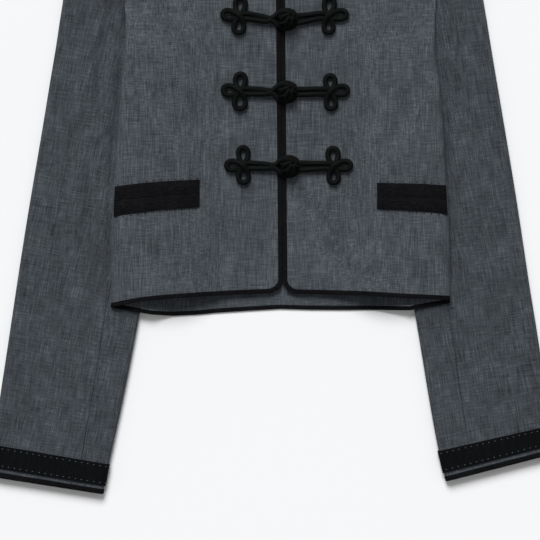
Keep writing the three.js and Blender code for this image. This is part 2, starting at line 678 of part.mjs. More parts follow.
// The knot's half section: a neck inside the loop, then the round head, from below to its top.
const HEAD = [
  { share: 0.8, z: KNOT.shoulder + 1 },
  { share: 1, z: KNOT.shoulder + 4.6 },
  { share: 0.88, z: KNOT.high - 3 },
  { share: 0.5, z: KNOT.high - 0.6 },
];
const knotProfile = [
  new THREE.Vector2(0, 0),
  new THREE.Vector2(KNOT.neck, 0),
  new THREE.Vector2(KNOT.neck, KNOT.shoulder),
  ...HEAD.map(({ share, z }) => new THREE.Vector2(KNOT.ball * share, z)),
  new THREE.Vector2(0, KNOT.high),
];

for (const frog of FROG) {
  const { name, knotX, knotY } = frog;
  const ring = solidOf(cordRing(knotX, knotY, LOOP));
  const loopHalf = cloverHalf(frog.leftX, frog.leftY, -1, knotX - LOOP, knotY).add(ring);
  addPiece("frog_loop_" + name, layOnFronts(geometryOf(loopHalf), SEAT + CORD), black);

  const stemEnd = knotX + LOOP + CORD + SEAM;
  const buttonHalf = cloverHalf(frog.rightX, frog.rightY, 1, stemEnd, knotY);
  addPiece("frog_button_" + name, layOnFronts(geometryOf(buttonHalf), SEAT + CORD), black);

  const knot = new THREE.LatheGeometry(knotProfile, 12).rotateX(Math.PI / 2);
  const rest = frontHeight(knotX, knotY) + SEAT;
  addPiece("knot_" + name, geometryOf(solidOf(knot.translate(knotX, knotY, rest))), black);
}

// ---- Centre the jacket over the origin, resting on z = 0 ----
const bounds = new THREE.Box3().setFromObject(jacket);
const middle = bounds.getCenter(new THREE.Vector3());
jacket.position.set(-middle.x, -middle.y, -bounds.min.z);

export default jacket;
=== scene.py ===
import math

import bmesh
import bpy
from mathutils import Matrix, Vector, noise


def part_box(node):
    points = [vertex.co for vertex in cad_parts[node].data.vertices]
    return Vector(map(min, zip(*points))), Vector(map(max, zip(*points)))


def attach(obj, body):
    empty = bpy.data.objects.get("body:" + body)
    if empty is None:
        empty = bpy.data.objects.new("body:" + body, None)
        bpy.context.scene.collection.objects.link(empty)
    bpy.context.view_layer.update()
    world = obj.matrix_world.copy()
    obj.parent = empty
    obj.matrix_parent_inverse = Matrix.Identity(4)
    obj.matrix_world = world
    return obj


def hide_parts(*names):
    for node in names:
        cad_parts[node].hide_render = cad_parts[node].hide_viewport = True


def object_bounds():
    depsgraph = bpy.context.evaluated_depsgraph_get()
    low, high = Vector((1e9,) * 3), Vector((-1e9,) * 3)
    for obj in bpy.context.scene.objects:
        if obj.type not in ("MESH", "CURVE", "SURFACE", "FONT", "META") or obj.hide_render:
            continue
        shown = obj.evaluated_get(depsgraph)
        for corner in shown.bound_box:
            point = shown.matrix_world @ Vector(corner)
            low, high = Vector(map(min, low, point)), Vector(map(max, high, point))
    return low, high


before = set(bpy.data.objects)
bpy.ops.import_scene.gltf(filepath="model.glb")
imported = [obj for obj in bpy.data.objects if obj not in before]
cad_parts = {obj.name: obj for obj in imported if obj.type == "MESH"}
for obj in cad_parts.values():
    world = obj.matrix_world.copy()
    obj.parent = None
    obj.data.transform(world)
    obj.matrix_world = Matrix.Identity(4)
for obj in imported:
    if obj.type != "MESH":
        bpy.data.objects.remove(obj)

bpy.ops.object.select_all(action="DESELECT")
cad_box = [list(corner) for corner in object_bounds()]
MM = 0.001


# ---- Camera ----
# Straight above the jacket as it lies, so that the top of the view is the collar's side. The view is
# square and as wide as the two sleeves, and it is centred a little above the hem.
VIEW_WIDTH = 0.594
VIEW_HEIGHT = 2.5
ABOVE_CUFFS = 0.2472
SENSOR = 36
VIEW_ASIDE = 0.0004
cuff_low = cad_box[0][1]
cloth_top = 12 * MM
camera_data = bpy.data.cameras.new("camera")
camera_data.sensor_width = SENSOR
camera_data.lens = SENSOR * (VIEW_HEIGHT - cloth_top) / VIEW_WIDTH
camera = bpy.data.objects.new("camera", camera_data)
camera.location = (VIEW_ASIDE, cuff_low + ABOVE_CUFFS, VIEW_HEIGHT)
bpy.context.scene.collection.objects.link(camera)
bpy.context.scene.camera = camera


# ---- Wool cloth: the back panel ----
# One piece of melange wool, woven from yarns of mixed dark and light fibre. It rests on the surface in
# the middle and climbs over the sleeves at both sides. Its lower edge stays a little lifted and wavy.
CLOTH = 2 * MM
WOOL_DARK = (0.012, 0.0145, 0.018, 1)
WOOL_MID = (0.058, 0.0665, 0.077, 1)
WOOL_LIGHT = (0.15, 0.165, 0.185, 1)
WOOL = ((0.3, WOOL_DARK), (0.5, WOOL_MID), (0.7, WOOL_LIGHT))
YARN_FINE, YARN_SLUB_UP, YARN_SLUB_ACROSS = 1020, 0.045, 0.06
FLECK_FINE, BROAD_FINE = 1400, 55
WARP_SHARE, WEFT_SHARE, FLECK_SHARE, BROAD_SHARE = 0.36, 0.28, 0.2, 0.16
WEAVE_DEPTH = 0.5 * MM
SAME_POINT = 0.02 * MM

# The jacket's own origin, on the centre line at the front hem; the middle knot says where it is.
knot_low, knot_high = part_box("knot_middle")
KNOT_FROM_HEM = Vector((6.6 * MM, 219 * MM, 0))
hem_centre = (Vector(knot_low) + Vector(knot_high)) / 2 - KNOT_FROM_HEM
hem_centre.z = 0


def spot(x, y):
    """A place on the jacket in millimetres from the front hem's centre."""
    return Vector((hem_centre.x + x * MM, hem_centre.y + y * MM))


def texture_noise(tree, vector, scale, detail=2.0, rough=0.5):
    node = tree.nodes.new("ShaderNodeTexNoise")
    node.inputs["Scale"].default_value = scale
    node.inputs["Detail"].default_value = detail
    node.inputs["Roughness"].default_value = rough
    tree.links.new(vector, node.inputs["Vector"])
    return node.outputs["Fac"]


def ramp(tree, value, stops):
    node = tree.nodes.new("ShaderNodeValToRGB")
    while len(node.color_ramp.elements) < len(stops):
        node.color_ramp.elements.new(0.5)
    for element, (place, colour) in zip(node.color_ramp.elements, stops):
        element.position = place
        element.color = colour
    tree.links.new(value, node.inputs["Fac"])
    return node.outputs["Color"]


def maths(tree, operation, a, b):
    node = tree.nodes.new("ShaderNodeMath")
    node.operation = operation
    for socket, value in zip(node.inputs, (a, b)):
        if isinstance(value, (int, float)):
            socket.default_value = value
        else:
            tree.links.new(value, socket)
    return node.outputs["Value"]


def turned_place(tree, angle, scale=(1, 1, 1)):
    """The piece's own coordinates, turned so that Y runs along its grain."""
    place = tree.nodes.new("ShaderNodeTexCoord")
    mapping = tree.nodes.new("ShaderNodeMapping")
    mapping.vector_type = "TEXTURE"
    mapping.inputs["Rotation"].default_value = (0, 0, angle)
    tree.links.new(place.outputs["Object"], mapping.inputs["Vector"])
    stretch = tree.nodes.new("ShaderNodeMapping")
    stretch.inputs["Scale"].default_value = scale
    tree.links.new(mapping.outputs["Vector"], stretch.inputs["Vector"])
    return stretch.outputs["Vector"]


def new_cloth(name, rough, sheen):
    material = bpy.data.materials.new(name)
    material.use_nodes = True
    shader = material.node_tree.nodes["Principled BSDF"]
    shader.inputs["Roughness"].default_value = rough
    shader.inputs["Specular IOR Level"].default_value = 0.08
    shader.inputs["Sheen Weight"].default_value = sheen
    shader.inputs["Sheen Roughness"].default_value = 0.5
    return material, material.node_tree, shader


def add_bump(tree, shader, height, strength, distance):
    bump = tree.nodes.new("ShaderNodeBump")
    bump.inputs["Strength"].default_value = strength
    bump.inputs["Distance"].default_value = distance
    tree.links.new(height, bump.inputs["Height"])
    tree.links.new(bump.outputs["Normal"], shader.inputs["Normal"])


def wool(name, angle, stops):
    """Plain weave of slubbed yarns: long along the grain one way, long across it the other way."""
    material, tree, shader = new_cloth(name, 0.92, 0.03)
    warp = texture_noise(tree, turned_place(tree, angle, (1, YARN_SLUB_UP, 1)), YARN_FINE, 1.5, 0.6)
    weft = texture_noise(tree, turned_place(tree, angle, (YARN_SLUB_ACROSS, 1, 1)), YARN_FINE, 1.5, 0.6)
    fleck = texture_noise(tree, turned_place(tree, angle), FLECK_FINE, 1, 0.5)
    broad = texture_noise(tree, turned_place(tree, angle, (1, 0.6, 1)), BROAD_FINE, 3, 0.6)
    warp_part = maths(tree, "MULTIPLY", warp, WARP_SHARE)
    yarns = maths(tree, "ADD", warp_part, maths(tree, "MULTIPLY", weft, WEFT_SHARE))
    mixed = maths(tree, "ADD", yarns, maths(tree, "MULTIPLY", fleck, FLECK_SHARE))
    value = maths(tree, "ADD", mixed, maths(tree, "MULTIPLY", broad, BROAD_SHARE))
    colour = ramp(tree, value, stops)
    tree.links.new(colour, shader.inputs["Base Color"])
    add_bump(tree, shader, mixed, 0.5, WEAVE_DEPTH)
    return material


wool_straight = wool("wool_straight", 0, WOOL)


def keep_outer(mesh, seed, sharpest):
    """Keeps the faces reached from the seed without crossing the panel's thickness."""
    reached = {seed}
    waiting = [seed]
    while waiting:
        face = waiting.pop()
        for edge in face.edges:
            if len(edge.link_faces) == 2 and edge.calc_face_angle() < math.radians(sharpest):
                for other in edge.link_faces:
                    if other not in reached:
                        reached.add(other)
                        waiting.append(other)
    spare = [face for face in mesh.faces if face not in reached]
    bmesh.ops.delete(mesh, geom=spare, context="FACES")
    loose = [vert for vert in mesh.verts if not vert.link_faces]
    bmesh.ops.delete(mesh, geom=loose, context="VERTS")


def apply_modifier(piece, kind, **settings):
    bpy.ops.object.select_all(action="DESELECT")
    bpy.context.view_layer.objects.active = piece
    piece.select_set(True)
    modifier = piece.modifiers.new(kind.lower(), kind)
    for key, value in settings.items():
        setattr(modifier, key, value)
    bpy.ops.object.modifier_apply(modifier=modifier.name)


def smooth_sheet(node, name, upward, levels=3, sharpest=62):
    """A panel's outer face, made fine and smooth. upward says which face the cloth shows."""
    mesh = bmesh.new()
    mesh.from_mesh(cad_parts[node].data)
    bmesh.ops.remove_doubles(mesh, verts=mesh.verts, dist=SAME_POINT)
    mesh.faces.ensure_lookup_table()
    best = max(mesh.faces, key=lambda face: (upward * face.normal.z, face.calc_area()))
    keep_outer(mesh, best, sharpest)
    bmesh.ops.join_triangles(
        mesh, faces=mesh.faces, angle_face_threshold=math.radians(40), angle_shape_threshold=math.radians(80)
    )
    data = bpy.data.meshes.new(name)
    mesh.to_mesh(data)
    mesh.free()
    piece = bpy.data.objects.new(name, data)
    bpy.context.scene.collection.objects.link(piece)
    apply_modifier(piece, "SUBSURF", levels=levels, render_levels=levels, boundary_smooth="PRESERVE_CORNERS")
    return piece


CREASE_TAIL = 0.15  # how far a trough fades past each end, as a share of its length
CREASE_REACH = 1.6  # how far out it is felt, in half widths
TROUGH_FALL, RIDGE_FALL, RIDGE_SHARE = 3.2, 9, 0.35


def crease_depth(place, crease):
    """How far a trough presses the cloth in at a place: soft across, and fading at both ends."""
    start = spot(*crease["from"])
    along = spot(*crease["to"]) - start
    reach = place.xy - start
    share = reach.dot(along) / along.length_squared
    if not -CREASE_TAIL < share < 1 + CREASE_TAIL:
        return 0
    side = (along.x * reach.y - along.y * reach.x) / along.length
    bow = crease.get("bow", 0) * MM * math.sin(math.pi * share)
    across = abs(side - bow) / (crease["half"] * MM)
    if across >= CREASE_REACH:
        return 0
    fade = max(0, math.sin(math.pi * (share + CREASE_TAIL) / (1 + 2 * CREASE_TAIL))) ** 0.7
    trough = math.exp(-TROUGH_FALL * across * across)
    ridge = RIDGE_SHARE * math.exp(-RIDGE_FALL * (across - 1) ** 2)
    return crease["depth"] * MM * fade * (trough - ridge)


WANDER_BROAD, WANDER_FINE, FINE_SHARE = 14, 38, 0.4


def settled(place, creases, ripple):
    """How far the cloth moves up at a place: troughs, and the faint unevenness of cloth laid by hand."""
    flat_place = Vector((place.x, place.y, 0))
    wander = noise.noise(flat_place * WANDER_BROAD) + FINE_SHARE * noise.noise(flat_place * WANDER_FINE)
    return ripple * MM * wander - sum(crease_depth(place, crease) for crease in creases)


def settle(piece, rise, only=None):
    """Moves a piece's points up or down by what rise says for each place."""
    for vert in piece.data.vertices:
        if not only or only(vert):
            vert.co.z += rise(vert.co)
    piece.data.update()


def thicken(piece, thickness=CLOTH):
    """Gives an open sheet its wall, inward from the face that shows."""
    apply_modifier(piece, "SOLIDIFY", thickness=thickness, offset=-1)
    bpy.ops.object.shade_smooth_by_angle(angle=math.radians(50))


def finish_sheet(piece, material, nodes=()):
    piece.data.materials.clear()
    piece.data.materials.append(material)
    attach(piece, "root")
    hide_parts(*nodes)


BACK_CREASES = [
    {"from": (-118, -20), "to": (-84, 70), "depth": 1.0, "half": 14},
    {"from": (66, -15), "to": (96, 90), "depth": 0.8, "half": 16},
    {"from": (-60, 380), "to": (-20, 300), "depth": 0.7, "half": 18},
]
BACK_RIPPLE = 0.15
OFF_THE_FLOOR = CLOTH + 0.05 * MM
back = smooth_sheet("back_panel", "back_panel_wool", 1)


def back_rise(place):
    """The back's creases, which sink no further than the floor lets the cloth."""
    return max(settled(place, BACK_CREASES, BACK_RIPPLE), CLOTH - place.z)


settle(back, back_rise, lambda vert: vert.co.z > OFF_THE_FLOOR)
thicken(back)
finish_sheet(back, wool_straight, nodes=["back_panel"])


# ---- Front panels ----
# Two fronts of the same wool, edge to edge on the centre line. They lie over the back and roll down to
# it at the side folds. Long soft folds run from the armholes and from below the lowest frog.
FRONT_CUT = {"left": (0.183, 0.44), "right": (0.18, 0.44)}
FRONT_CREASES = [
    {"from": (8, 116), "to": (62, 44), "depth": 2.3, "half": 14, "bow": 3},
    {"from": (30, 66), "to": (84, 18), "depth": 1.3, "half": 12},
    {"from": (-168, 262), "to": (-108, 168), "depth": 1.6, "half": 17, "bow": -5},
    {"from": (168, 262), "to": (112, 150), "depth": 1.6, "half": 18, "bow": 5},
    {"from": (-96, 330), "to": (-72, 250), "depth": 0.8, "half": 20},
    {"from": (104, 345), "to": (84, 262), "depth": 0.8, "half": 20},
    {"from": (-26, 200), "to": (-34, 150), "depth": 0.7, "half": 12},
    {"from": (-70, 84), "to": (-62, 6), "depth": 1.1, "half": 18, "bow": 3},
    {"from": (-122, 80), "to": (-130, 2), "depth": 1.0, "half": 15, "bow": -3},
    {"from": (118, 82), "to": (128, 4), "depth": 1.1, "half": 17, "bow": 4},
    {"from": (-20, 70), "to": (-14, 4), "depth": 0.6, "half": 12},
    {"from": (-152, 150), "to": (-120, 132), "depth": 0.7, "half": 12},
]
FRONT_RIPPLE = 0.8
SIDE_SWELL = 2.8 * MM  # where the fronts lie over the sleeves
SIDE_DROP = 6.2 * MM
SIDE_REACH = 15 * MM
SIDE_CURVE = 2.2
SWELL_ENDS, SWELL_FADES = 6, 4  # how far in the swell reaches, and over how much it fades, in side reaches
SIDE_HALF, SIDE_TAPER, TAPER_FROM = 187, 0.000235, 40  # the half width at the hem, and how it narrows
FALL_ENDS, FALL_FADES = 285 * MM, 60 * MM
HEM_LIFT = 4.5 * MM
HEM_REACH = 55 * MM
LIFTED = ((-108, 62), (102, 62))  # middle and half width of the stretches where the front hem stands off


def front_rise(place):
    """How the fronts and all that is sewn on them stand: folds, the lifted hem and the falling sides."""
    rise = settled(place, FRONT_CREASES, FRONT_RIPPLE)
    above = (place.y - hem_centre.y) / HEM_REACH
    for middle, half in LIFTED:
        across = abs((place.x - hem_centre.x) / MM - middle) / half
        if across < 1 and above < 1:
            rise += HEM_LIFT * (math.cos(math.pi * across) + 1) / 2 * (1 - max(above, 0)) ** 2
    return rise


def side_fall(place):
    """How far the cloth falls toward the side fold, below the armholes."""
    along = place.y - hem_centre.y
    edge = (SIDE_HALF - SIDE_TAPER * max(along / MM - TAPER_FROM, 0) ** 2) * MM
    inward = (edge - abs(place.x - hem_centre.x)) / SIDE_REACH
    fade = min(max((FALL_ENDS - along) / FALL_FADES, 0), 1)
    swell = SIDE_SWELL * min(max((SWELL_ENDS - inward) / SWELL_FADES, 0), 1)
    return (swell - SIDE_DROP * min(max(1 - inward, 0), 1) ** SIDE_CURVE) * fade


fronts = {}
for side, cut in FRONT_CUT.items():
    front = smooth_sheet("front_" + side, "front_wool_" + side, 1)
    facing_up = [max(vert.normal.z, 0) for vert in front.data.vertices]
    for vert, share in zip(front.data.vertices, facing_up):
        vert.co.z += side_fall(vert.co) * share
    settle(front, front_rise)
    thicken(front)
    finish_sheet(front, wool_straight, nodes=["front_" + side])
    fronts[side] = front


# ---- Sleeves ----
# Each sleeve is an upper and an under piece, seamed near the inner fold and under the outer fold.
# The tubes lie flat and slip under the body, and a soft valley runs down beside each armhole.
SLEEVE_CREASES = [
    {"from": (-171, 285), "to": (-189, -26), "depth": 2.2, "half": 7, "bow": -5},
    {"from": (171, 285), "to": (189, -20), "depth": 2.2, "half": 7, "bow": 5},
    {"from": (-174, 280), "to": (-192, -26), "depth": 1.2, "half": 15, "bow": -5},
    {"from": (174, 280), "to": (192, -20), "depth": 1.2, "half": 15, "bow": 5},
    {"from": (-184, 330), "to": (-204, 170), "depth": 1.9, "half": 10, "bow": -3},
    {"from": (183, 330), "to": (197, 170), "depth": 1.9, "half": 9, "bow": 3},
    {"from": (-212, 210), "to": (-236, 110), "depth": 0.9, "half": 13},
    {"from": (206, 190), "to": (226, 96), "depth": 0.9, "half": 13},
    {"from": (-262, 90), "to": (-214, 30), "depth": 0.9, "half": 13, "bow": 4},
    {"from": (246, 84), "to": (204, 20), "depth": 1.0, "half": 13, "bow": -4},
    {"from": (-280, -20), "to": (-240, -70), "depth": 0.8, "half": 12},
    {"from": (258, -30), "to": (222, -84), "depth": 0.8, "half": 12},
    {"from": (193, 44), "to": (198, -6), "depth": 1.2, "half": 8},
    {"from": (-190, -60), "to": (-206, -140), "depth": 0.6, "half": 9},
]
GRAIN = {"left": math.radians(-11), "right": math.radians(9.5)}
OVER_HALF_WAY = 4.6 * MM
SLEEVE_RIPPLE = 0.5
# Painted shade: the sleeves' wool is coloured darker than the body's, because the sleeves lie lower with
# their nap turned and take less light.
SLEEVE_PAINTED_SHADE = 0.036


def sleeve_rise(place):
    return settled(place, SLEEVE_CREASES, SLEEVE_RIPPLE)


for side, lean in GRAIN.items():
    # The colour stops are moved along so that the sleeve wool comes out darker: painted shade.
    cloth = wool("wool_sleeve_" + side, lean, [(place + SLEEVE_PAINTED_SHADE, tone) for place, tone in WOOL])
    for part in ("upper", "under"):
        node = f"sleeve_{part}_{side}"
        sleeve = smooth_sheet(node, f"sleeve_{part}_wool_{side}", 1 if part == "upper" else -1)
        settle(sleeve, sleeve_rise, lambda vert: vert.co.z > OVER_HALF_WAY)
        thicken(sleeve)
        finish_sheet(sleeve, cloth, nodes=[node])


# ---- Stand collar ----
# A band of the wool that rises from the neckline, open at the front, with its back half lying behind
# the front halves.
COLLAR_ROUND = 0.7 * MM


def rounded_strip(node, name, soft, segments=3):
    """A narrow piece with its folded edges rounded over, as pressed cloth has them."""
    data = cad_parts[node].data.copy()
    data.name = name
    mesh = bmesh.new()
    mesh.from_mesh(data)
    bmesh.ops.remove_doubles(mesh, verts=mesh.verts, dist=SAME_POINT)
    bmesh.ops.join_triangles(
        mesh, faces=mesh.faces, angle_face_threshold=math.radians(30), angle_shape_threshold=math.radians(80)
    )
    mesh.to_mesh(data)
    mesh.free()
    piece = bpy.data.objects.new(name, data)
    bpy.context.scene.collection.objects.link(piece)
    apply_modifier(
        piece, "BEVEL", width=soft, segments=segments, limit_method="ANGLE", angle_limit=math.radians(50)
    )
    bpy.ops.object.shade_smooth_by_angle(angle=math.radians(60))
    return piece


collar = rounded_strip("collar", "collar_wool", COLLAR_ROUND)
finish_sheet(collar, wool_straight, nodes=["collar"])


# ---- Black bindings ----
# Bias strips of a plain black cloth, folded double over every raw edge and felled down behind. They run
# down the centre, round the lower corners, along both hems and round the collar's edge.
BLACK = (0.0018, 0.0018, 0.0024, 1)
BLACK_WORN = (0.008, 0.0082, 0.0095, 1)
BINDING_ROUND = 0.55 * MM
BINDING_CUT_WIDE = 0.011


def black_cloth(name, grain, angle=0):
    """A close plain weave with a faint worn bloom."""
    material, tree, shader = new_cloth(name, 0.85, 0.005)
    thread = texture_noise(tree, turned_place(tree, angle, grain), 900, 2, 0.6)
    bloom = texture_noise(tree, turned_place(tree, angle), 60, 2, 0.5)
    value = maths(tree, "ADD", maths(tree, "MULTIPLY", thread, 0.7), maths(tree, "MULTIPLY", bloom, 0.3))
    tree.links.new(ramp(tree, value, ((0.42, BLACK), (0.72, BLACK_WORN))), shader.inputs["Base Color"])
    add_bump(tree, shader, thread, 0.4, 0.3 * MM)
    return material


binding_cloth = black_cloth("binding_cloth", (1, 1, 1))


# Each strip's run, and half its girth: what shows on its face, and the edge that it wraps.
BINDINGS = {
    "binding_back_hem": (0.379, 0.0066),
    "binding_front_left": (0.545, 0.0076),
    "binding_front_right": (0.539, 0.0076),
    "binding_collar": (0.365, 0.0056),
}
bindings = []
for node, (length, half_girth) in BINDINGS.items():
    strip = rounded_strip(node, node + "_cloth", BINDING_ROUND)
    if "front" in node:
        settle(strip, lambda place: front_rise(place) + side_fall(place))
    cut = (BINDING_CUT_WIDE, length)
    finish_sheet(strip, binding_cloth, [node])
    bindings.append(strip)


# ---- Cuffs ----
# A ribbed black ribbon is sewn round each sleeve a little above its end, with a pale pick stitch inside
# both of its edges. The sleeve's raw end is bound in black below a narrow strip of the wool.
RIBBON = (0.0009, 0.0014, 0.002, 1)
RIBBON_RIB = (0.0026, 0.0034, 0.0045, 1)
THREAD_PALE = (0.085, 0.09, 0.095, 1)
STITCH_INSET = 3 * MM
STITCH_PITCH = 6.8 * MM
RIBBON_THICK = 0.9 * MM
CUFF_STITCH = (1.7 * MM, 0.8 * MM, 0.5 * MM)


def rib_cloth(name, angle):
    material, tree, shader = new_cloth(name, 0.8, 0.01)
    ribs = texture_noise(tree, turned_place(tree, angle, (1, 0.1, 1)), 1100, 1, 0.5)
    tree.links.new(ramp(tree, ribs, ((0.4, RIBBON), (0.65, RIBBON_RIB))), shader.inputs["Base Color"])
    add_bump(tree, shader, ribs, 0.5, 0.3 * MM)
    return material


def plain(name, rough, sheen, colour):
    """A material of one even colour."""
    material, tree, shader = new_cloth(name, rough, sheen)
    shader.inputs["Base Color"].default_value = colour
    return material


thread_pale = plain("thread_pale", 0.8, 0.1, THREAD_PALE)


def rim_lines(piece):
    """The edge loops of an open sheet, each as points in order."""
    mesh = bmesh.new()
    mesh.from_mesh(piece.data)
    mesh.edges.index_update()
    open_edges = {edge for edge in mesh.edges if edge.is_boundary}
    lines = []
    while open_edges:
        edge = min(open_edges, key=lambda edge: edge.index)
        open_edges.discard(edge)
        line = [edge.verts[0], edge.verts[1]]
        while True:
            onward = [e for e in line[-1].link_edges if e in open_edges]
            if not onward:
                break
            open_edges.discard(onward[0])
            line.append(onward[0].other_vert(line[-1]))
        lines.append([vert.co.copy() for vert in line])
    mesh.free()
    return lines


def evenly(line, pitch):
    """Points a pitch apart along a line, each with the line's direction there."""
    left_over, places = pitch / 2, []
    for start, end in zip(line, line[1:]):
        span = (end - start).length
        while left_over < span:
            places.append((start.lerp(end, left_over / span), (end - start).normalized()))
            left_over += pitch
        left_over -= span
    return places


def stitch_row(name, places, size, material):
    """Small raised stitches, one at each place, made as one piece."""
    mesh = bmesh.new()
    long, wide, high = size
    for place, along, normal in places:
        across = normal.cross(along).normalized()
        turn = Matrix((along, across, normal)).transposed().to_4x4()
        shape = Matrix.Translation(place) @ turn @ Matrix.Diagonal((long, wide, high, 1))
        bmesh.ops.create_icosphere(mesh, subdivisions=2, radius=0.5, matrix=shape)
    data = bpy.data.meshes.new(name)
    mesh.to_mesh(data)
    mesh.free()
    data.materials.append(material)
    for face in data.polygons:
        face.use_smooth = True
    piece = bpy.data.objects.new(name, data)
    bpy.context.scene.collection.objects.link(piece)
    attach(piece, "root")
    return piece


for side, lean in GRAIN.items():
    band = smooth_sheet("cuff_band_" + side, "cuff_ribbon_" + side, 1, 2, 76)
    low_line, high_line = sorted(rim_lines(band), key=lambda line: sum(point.y for point in line) / len(line))
    stitches = []
    for line, other in ((low_line, high_line), (high_line, low_line)):
        for place, along in evenly(line, STITCH_PITCH):
            toward = min(other, key=lambda point: (point - place).length_squared) - place
            inside = place + toward.normalized() * STITCH_INSET
            hit, on_band, normal, index = band.closest_point_on_mesh(inside)
            stitches.append((on_band, along, normal))
    stitch_row("cuff_stitches_" + side, stitches, CUFF_STITCH, thread_pale)
    thicken(band, RIBBON_THICK)
    finish_sheet(
        band, rib_cloth("cuff_ribbon_rib_" + side, lean),
        ["cuff_band_" + side],
    )
    strip = rounded_strip("cuff_binding_" + side, "cuff_binding_cloth_" + side, BINDING_ROUND)
    finish_sheet(
        strip, binding_cloth,
        ["cuff_binding_" + side],
    )


# ---- Pockets ----
# Two black jets, an upper and a lower one, meet at each pocket's mouth and run out to the side fold.
# A dark pick stitch holds the wool just outside their long edges.
JET_ROUND = 0.45 * MM
POCKET_PITCH = 8 * MM
POCKET_STITCH = (2.0 * MM, 1.1 * MM, 0.6 * MM)
STITCH_OUTSIDE = 1.6 * MM
EDGE_STEP = 4 * MM
THREAD_DARK = (0.003, 0.003, 0.004, 1)
jet_cloth = black_cloth("jet_cloth", (0.25, 1, 1))
thread_dark = plain("thread_dark", 0.8, 0.1, THREAD_DARK)
for side, front in fronts.items():
    stitches = []
    for part, toward in (("upper", 1), ("lower", -1)):
        node = f"pocket_{part}_{side}"
        jet = rounded_strip(node, f"pocket_{part}_jet_{side}", JET_ROUND)
        settle(jet, lambda place: front_rise(place) + side_fall(place))
        finish_sheet(jet, jet_cloth, [node])
        outer = {}
        for vert in jet.data.vertices:
            column = round(vert.co.x / EDGE_STEP)
            if column not in outer or toward * (vert.co.y - outer[column].y) > 0:
                outer[column] = vert.co.copy()
        edge = [outer[column] for column in sorted(outer)]
        for place, along in evenly(edge, POCKET_PITCH):
            above = Vector((place.x, place.y + toward * STITCH_OUTSIDE, 1))
            hit, on_front, normal, index = front.ray_cast(above, Vector((0, 0, -1)))
            if hit:
                stitches.append((on_front, Vector((1, 0, 0)), normal))
    stitch_row("pocket_stitches_" + side, stitches, POCKET_STITCH, thread_dark)


# ---- Frogs ----
# Each frog is two lengths of round black cord, sewn down flat in three petals. The left one runs on as
# a loop and holds the knot button, which is tied in the right one.
CORD = 3.0 * MM
CORD_SEAT = 0.35 * MM
CORD_STEP = 1.1 * MM
CORD_SQUASH = 0.9
BRAID_DEPTH = 0.45 * MM
SILK = (0.0006, 0.0008, 0.0009, 1)
# Painted highlight: a lighter colour for the crowns of the braid's strands, standing in for the light they
# catch.
SILK_PAINTED_HIGHLIGHT = (0.0062, 0.0078, 0.0074, 1)

silk, silk_tree, silk_shader = new_cloth("frog_silk", 0.6, 0.0)
silk_shader.inputs["Specular IOR Level"].default_value = 0.05
wound = silk_tree.nodes.new("ShaderNodeUVMap")
wound.uv_map = "along_cord"
split = silk_tree.nodes.new("ShaderNodeSeparateXYZ")
silk_tree.links.new(wound.outputs["UV"], split.inputs["Vector"])
STRANDS_ROUND = 6
STRAND_PITCH = 3.2 * MM
lays = []
for way in (1, -1):
    turn = maths(silk_tree, "MULTIPLY", split.outputs["X"], way * STRANDS_ROUND * 2 * math.pi)
    climb = maths(silk_tree, "MULTIPLY", split.outputs["Y"], 2 * math.pi / STRAND_PITCH)
    lays.append(maths(silk_tree, "SINE", maths(silk_tree, "ADD", turn, climb), 0))
braid = maths(silk_tree, "MAXIMUM", lays[0], lays[1])
braid_share = maths(silk_tree, "MULTIPLY", maths(silk_tree, "ADD", braid, 1), 0.5)
# The braid's pattern runs the colour from the black silk up to the painted highlight on each strand's crown.
silk_colour_with_painted_highlight = ramp(silk_tree, braid_share, ((0.35, SILK), (1.0, SILK_PAINTED_HIGHLIGHT)))
silk_tree.links.new(silk_colour_with_painted_highlight, silk_shader.inputs["Base Color"])
add_bump(silk_tree, silk_shader, braid_share, 0.7, BRAID_DEPTH)


def curved_through(points, step, closed):
    """A smooth line through the points, with places a step apart."""
    count = len(points)
    line = []
    for index in range(count if closed else count - 1):
        around = [
            points[(index + k) % count] if closed else points[min(max(index + k, 0), count - 1)]
            for k in (-1, 0, 1, 2)
        ]
        p0, p1, p2, p3 = around
        parts = max(1, round((p2 - p1).length / step))
        for part in range(parts):
            t = part / parts
            line.append(
                0.5 * (2 * p1 + (p2 - p0) * t + (2 * p0 - 5 * p1 + 4 * p2 - p3) * t * t
                       + (3 * p1 - p0 - 3 * p2 + p3) * t ** 3)
            )
    if not closed:
        line.append(points[-1])
    return line


GROOVES = 5
GROOVE_DEPTH = 0.07
GROOVE_TWIST = 34 * MM


